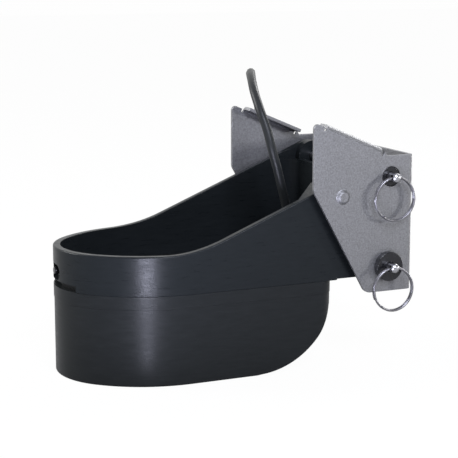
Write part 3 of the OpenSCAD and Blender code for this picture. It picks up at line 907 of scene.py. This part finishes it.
        for part in (flange, sleeve, ribs):
            tree.links.new(part, joined.inputs[0])
        placed = add_node(
            tree, "GeometryNodeTransform", {"Geometry": joined.outputs[0], "Translation": given["Place"]}
        ).outputs[0]
        real = add_node(tree, "GeometryNodeRealizeInstances", {"Geometry": placed}).outputs[0]
        coated = add_node(
            tree, "GeometryNodeSetMaterial", {"Geometry": real, "Material": given["Material"]}
        ).outputs[0]
        add_node(tree, "NodeGroupOutput", {"Geometry": coated})
        return tree

    def gland(self, materials: dict[str, bpy.types.Material]) -> None:
        """Makes the gland with its ribbed bend relief."""
        low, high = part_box("cable_gland")
        materials[GLAND_RUBBER.name] = GLAND_RUBBER.make()
        values = {
            "Flange radius": (high.x - low.x) / 2,
            "Flange height": self.flange_mm * MM,
            "Foot radius": (self.diameter_mm + self.sleeve_foot_mm) / 2 * MM,
            "Top radius": (self.diameter_mm + self.sleeve_top_mm) / 2 * MM,
            "Height": high.z - low.z - self.flange_mm * MM,
            "Place": Vector((*[m * MM for m in self.gland_mm], low.z)),
            "Material": materials[GLAND_RUBBER.name],
        }
        piece = Piece("ribbed_gland", "transducer", "gland_rubber", GLAND_RUBBER, ("cable_gland",))
        mesh = grown(self.gland_tree(), values, piece.name)
        form = bmesh.new()
        form.from_mesh(mesh)
        piece.settle(creased(form, piece.name), materials)

    def build(self, materials: dict[str, bpy.types.Material]) -> None:
        """Makes the gland, the straps and the plug, and then the cable."""
        self.gland(materials)
        straps = Piece("coil_straps", "transducer", "tie_nylon", STRAP_NYLON, ("coil_ties",))
        passes = [Round(self.strap_radius_mm, 2, any_edge)]
        on_it = [straps.settle(rounded_copy("coil_ties", straps.name, passes), materials)]
        passes = [Round(self.plug_radius_mm, 2, any_edge)]
        for node in ("plug_body", "plug_collar"):
            plug = Piece(f"{node}_moulding", "transducer", "plug_plastic", PLUG_NYLON, (node,))
            on_it.append(plug.settle(rounded_copy(node, plug.name, passes), materials))
        for piece in on_it:
            weigh_normals(piece)
        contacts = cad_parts["plug_contacts"]
        dress(contacts, CONTACT_BRASS, materials)
        self.cord(materials)


@dataclass(frozen=True)
class Lamp:
    """A rectangular soft light that the camera doesn't see. Lengths are in metres."""

    name: str
    place: tuple[float, float, float]
    aim: tuple[float, float, float]
    size: tuple[float, float]
    watts: float
    tint: str = "#ffffff"

    def hang(self) -> None:
        """Makes the light and points it at its aim."""
        data = bpy.data.lights.new(self.name, "AREA")
        data.shape = "RECTANGLE"
        data.size, data.size_y = self.size
        data.energy = self.watts
        data.color = linear(self.tint)[:3]
        lamp = bpy.data.objects.new(self.name, data)
        lamp.visible_camera = False
        bpy.context.scene.collection.objects.link(lamp)
        lamp.location = self.place
        lamp.rotation_euler = (Vector(self.aim) - Vector(self.place)).to_track_quat("-Z", "Y").to_euler()


@dataclass
class Studio:
    """Camera, lights, floor and background."""

    eye_mm: tuple[float, float, float] = (-408.5, -928.1, 281.9)
    target_mm: tuple[float, float, float] = (8.98, 0.0, 91.67)
    field_deg: float = 17.86
    sensor_mm: float = 36.0
    clip_m: tuple[float, float] = (0.05, 50.0)
    room_level: float = 0.4
    backdrop_level: float = 0.75
    backdrop_seen: float = 0.99
    # Where the room turns into the backdrop, as the Y of a direction on either side of zero.
    backdrop_edge: float = 0.3
    floor_half_m: float = 6.0
    floor_white: float = 0.36
    floor_mirrored: float = 0.28
    floor_glow: float = 1.03
    # Share of the floor that glows where it is seen; the rest keeps the shadow.
    glow_share: float = 0.94
    # Two low strips stand on the line along which the stern's round side mirrors light to the camera.
    strip_foot: tuple[float, float, float] = (-0.075, -0.054, 0.0)
    strip_way: tuple[float, float, float] = (-0.35, -0.937, 0.0)
    strip_lean: float = 0.1
    strip_tint: str = "#e6e8ff"
    lamps: tuple[Lamp, ...] = (
        Lamp("softbox", (-0.1, -1.1, 0.95), (0.0, 0.0, 0.1), (0.5, 0.5), 20.0, "#ebefff"),
        Lamp("key_right", (1.02, -0.84, 0.24), (0.1, -0.07, 0.1), (0.14, 0.14), 3.2),
        Lamp("rim_left", (-1.05, 0.65, 0.8), (0.0, 0.0, 0.08), (0.5, 0.5), 16.0),
        Lamp("rim_right", (1.1, 0.5, 0.9), (0.05, 0.0, 0.1), (0.5, 0.5), 9.0),
        Lamp("card_right", (1.3, 0.45, 0.06), (0.1, 0.0, 0.1), (0.4, 0.1), 4.0),
    )

    def camera(self) -> None:
        """Sets the camera at the photograph's viewing angle."""
        data = bpy.data.cameras.new("camera")
        data.sensor_width = self.sensor_mm
        data.lens = self.sensor_mm / 2 / math.tan(math.radians(self.field_deg / 2))
        data.clip_start, data.clip_end = self.clip_m
        eye = bpy.data.objects.new("camera", data)
        bpy.context.scene.collection.objects.link(eye)
        eye.location = Vector(self.eye_mm) * MM
        look = (Vector(self.target_mm) - Vector(self.eye_mm)).normalized()
        eye.rotation_euler = look.to_track_quat("-Z", "Y").to_euler()
        bpy.context.scene.camera = eye

    def strip(self, name: str, out: float, rise: float, size: tuple[float, float], watts: float) -> Lamp:
        """Plans a low strip that faces almost straight up.

        Args:
            name: The lamp's name.
            out: Its distance along the strips' line, in metres.
            rise: Its height above the floor, in metres.
            size: Its width and its length, in metres.
            watts: Its power.

        Returns:
            The lamp.
        """
        way = Vector(self.strip_way)
        place = Vector(self.strip_foot) + way * out + Vector((0, 0, rise))
        aim = place - way * self.strip_lean + Vector((0, 0, 1))
        return Lamp(name, tuple(place), tuple(aim), size, watts, self.strip_tint)

    def seen_directly(
        self, tree: bpy.types.NodeTree, mirrored: bpy.types.NodeSocket | float = 1.0
    ) -> bpy.types.NodeSocket:
        """Gives one where a ray comes from the camera, a mirror-like surface or a clear one.

        Args:
            tree: The floor's or the world's tree.
            mirrored: Share of the white that mirror-like surfaces show.

        Returns:
            The share of white.
        """
        path = add_node(tree, "ShaderNodeLightPath").outputs
        gloss = add_node(
            tree, "ShaderNodeMath", {0: path["Is Glossy Ray"], 1: mirrored}, operation="MULTIPLY"
        ).outputs[0]
        first = add_node(
            tree, "ShaderNodeMath", {0: path["Is Camera Ray"], 1: gloss}, operation="MAXIMUM"
        ).outputs[0]
        return add_node(
            tree, "ShaderNodeMath", {0: first, 1: path["Is Transmission Ray"]}, operation="MAXIMUM"
        ).outputs[0]

    def world(self) -> None:
        """Makes a white backdrop beyond the part and a dimmer room on the camera's side."""
        world = bpy.data.worlds.new("white_surround")
        bpy.context.scene.world = world
        world.use_nodes = True
        tree = world.node_tree
        tree.nodes.clear()
        way = add_node(tree, "ShaderNodeTexCoord").outputs["Generated"]
        beyond = add_node(
            tree,
            "ShaderNodeMapRange",
            {
                "Value": add_node(tree, "ShaderNodeSeparateXYZ", {0: way}).outputs["Y"],
                "From Min": -self.backdrop_edge,
                "From Max": self.backdrop_edge,
            },
        ).outputs[0]
        light = add_node(
            tree,
            "ShaderNodeMapRange",
            {"Value": beyond, "To Min": self.room_level, "To Max": self.backdrop_level},
        ).outputs[0]
        level = add_node(
            tree,
            "ShaderNodeMapRange",
            {"Value": self.seen_directly(tree, beyond), "To Min": light, "To Max": self.backdrop_seen},
        ).outputs[0]
        sky = add_node(tree, "ShaderNodeBackground", {"Color": (1.0, 1.0, 1.0, 1.0), "Strength": level})
        add_node(tree, "ShaderNodeOutputWorld", {"Surface": sky.outputs[0]})

    def floor(self) -> None:
        """Lays a pale floor that looks white and keeps a faint shadow."""
        half = self.floor_half_m
        corners = [(-half, -half, 0), (half, -half, 0), (half, half, 0), (-half, half, 0)]
        mesh = bpy.data.meshes.new("floor")
        mesh.from_pydata(corners, [], [(0, 1, 2, 3)])
        floor = bpy.data.objects.new("floor", mesh)
        bpy.context.scene.collection.objects.link(floor)
        material = bpy.data.materials.new("floor_white_sweep")
        material.use_nodes = True
        tree = material.node_tree
        tree.nodes.clear()
        white = self.floor_white
        cloth = add_node(tree, "ShaderNodeBsdfDiffuse", {"Color": (white, white, white, 1.0)})
        glow = add_node(
            tree, "ShaderNodeEmission", {"Color": (1.0, 1.0, 1.0, 1.0), "Strength": self.floor_glow}
        )
        seen = self.seen_directly(tree, self.floor_mirrored)
        share = add_node(
            tree, "ShaderNodeMath", {0: seen, 1: self.glow_share}, operation="MULTIPLY"
        ).outputs[0]
        mix = add_node(tree, "ShaderNodeMixShader", {0: share, 1: cloth.outputs[0], 2: glow.outputs[0]})
        add_node(tree, "ShaderNodeOutputMaterial", {"Surface": mix.outputs[0]})
        mesh.materials.append(material)

    def build(self) -> None:
        """Sets up the whole studio."""
        self.camera()
        self.world()
        self.floor()
        strips = (
            self.strip("strip_far", 0.38, 0.03, (0.042, 0.36), 4.4),
            self.strip("strip_near", 0.12, 0.01, (0.012, 0.14), 0.17),
        )
        for lamp in (*strips, *self.lamps):
            lamp.hang()
        bpy.context.scene.view_settings.view_transform = "Standard"


def main() -> None:
    """Builds every sub-assembly in order."""
    logging.basicConfig(level=logging.INFO, format="%(name)s %(message)s")
    materials: dict[str, bpy.types.Material] = {}
    Studio().build()
    for part in (Cable(), Body(), Bracket(), SplitRings()):
        part.build(materials)
        LOG.info("%s built", type(part).__name__)
    bpy.context.view_layer.update()


if __name__ == "__main__":
    main()
